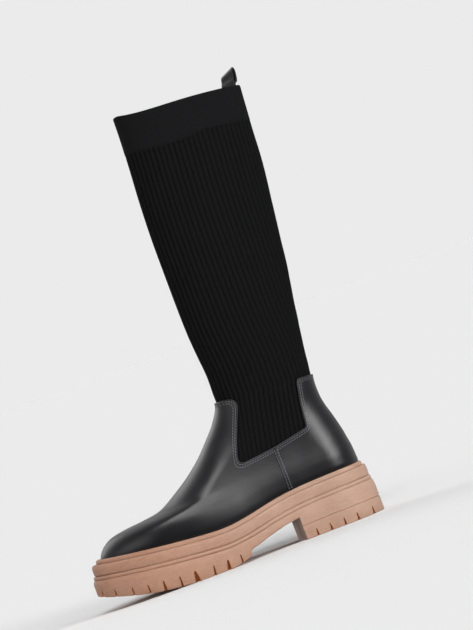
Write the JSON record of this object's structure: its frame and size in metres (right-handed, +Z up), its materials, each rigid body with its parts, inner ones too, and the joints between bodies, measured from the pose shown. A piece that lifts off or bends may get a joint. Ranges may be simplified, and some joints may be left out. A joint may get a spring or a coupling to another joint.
{
  "type": "boot",
  "caption": "Pull-on boot with a slack ribbed-knit shaft, a black leather foot with side cut-outs and a chunky welted tan rubber sole",
  "frame": {"origin": "middle of the heel's flat rest face, on the floor", "axes": "+Z up the shaft; -X to the toe and +X to the heel; -Y is the outer side of the foot and +Y the inner side"},
  "size_m": [0.2999, 0.1023, 0.447],
  "materials": {
    "rubber": "matt moulded tan rubber",
    "leather": "smooth black leather, soft sheen",
    "knit": "ribbed black knit, matt",
    "lining": "dark cloth-covered board"
  },
  "bodies": {
    "root": {"outsole": "rubber", "midsole": "rubber", "welt": "rubber", "insole": "lining", "upper": "leather", "side_strip_outer": "leather", "side_strip_inner": "leather", "shaft": "knit", "pull_loop": "leather"}
  },
  "joints": []
}
